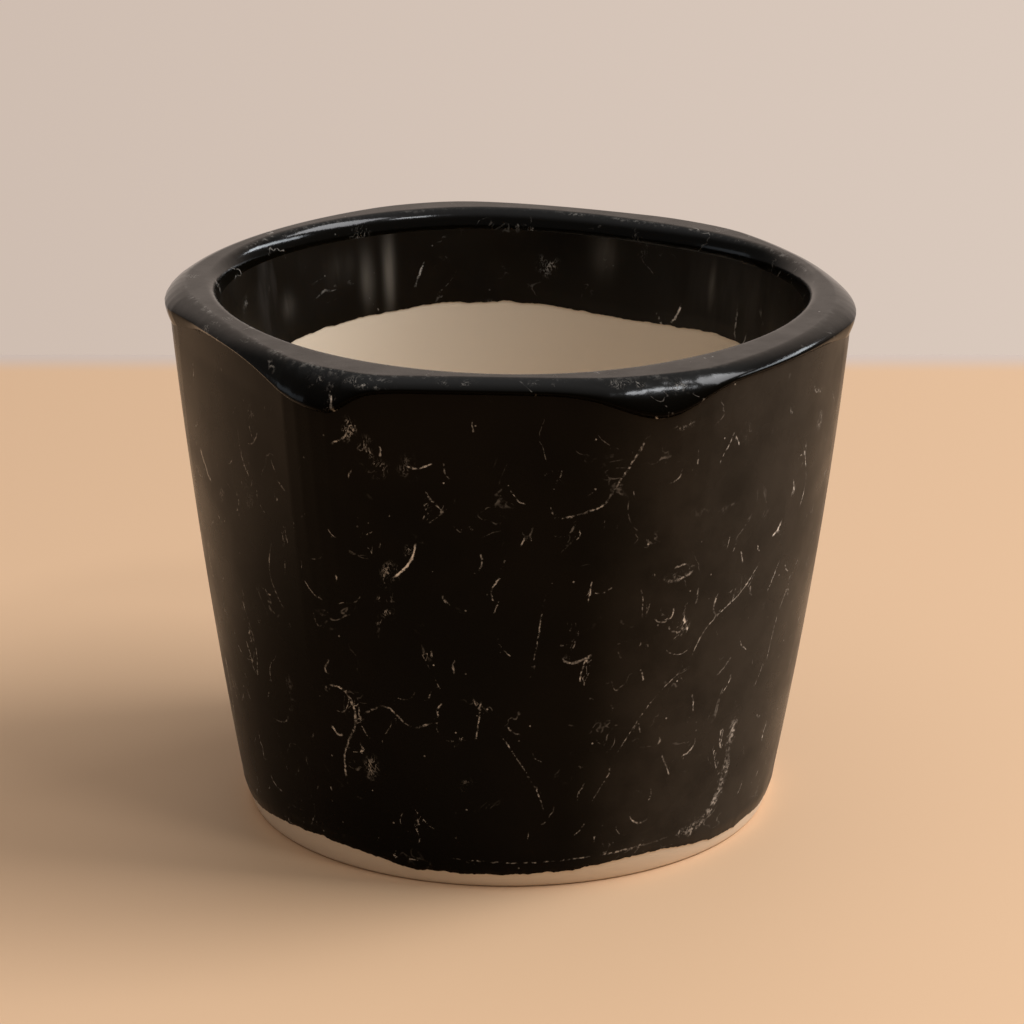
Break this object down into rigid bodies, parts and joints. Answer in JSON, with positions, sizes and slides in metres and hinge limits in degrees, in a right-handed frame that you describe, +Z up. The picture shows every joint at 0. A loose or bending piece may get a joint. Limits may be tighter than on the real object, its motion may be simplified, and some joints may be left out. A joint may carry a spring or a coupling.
{
  "type": "clay pot",
  "caption": "Small open pot with a soft six-cornered rim, tapering to a round foot; holds a plant or small things.",
  "frame": {"origin": "middle of the flat face that the pot rests on", "axes": "+Z up out of the mouth, -Y towards the flattest face of the rim (the front), +X to the right seen from the front"},
  "size_m": [0.1308, 0.128, 0.1025],
  "materials": {
    "bare_clay": "matt bare fired clay, cream to buff, with fine brown specks",
    "black_coat": "burnished brown-black, glossy, with thin pale veins, scuffs and specks",
    "rim_coat": "burnished black worn to satin grey on the flat top of the rim",
    "inner_coat": "brushed black, satin, with soft upright pale streaks"
  },
  "bodies": {
    "root": {"floor_slab": "bare_clay", "seam_coil": "bare_clay", "wall_lower_course": "bare_clay", "wall_middle_course": "bare_clay", "wall_upper_course": "bare_clay", "rim_coil": "bare_clay", "outer_coat": "black_coat", "rim_coat": "rim_coat", "inner_coat": "inner_coat"}
  },
  "joints": []
}
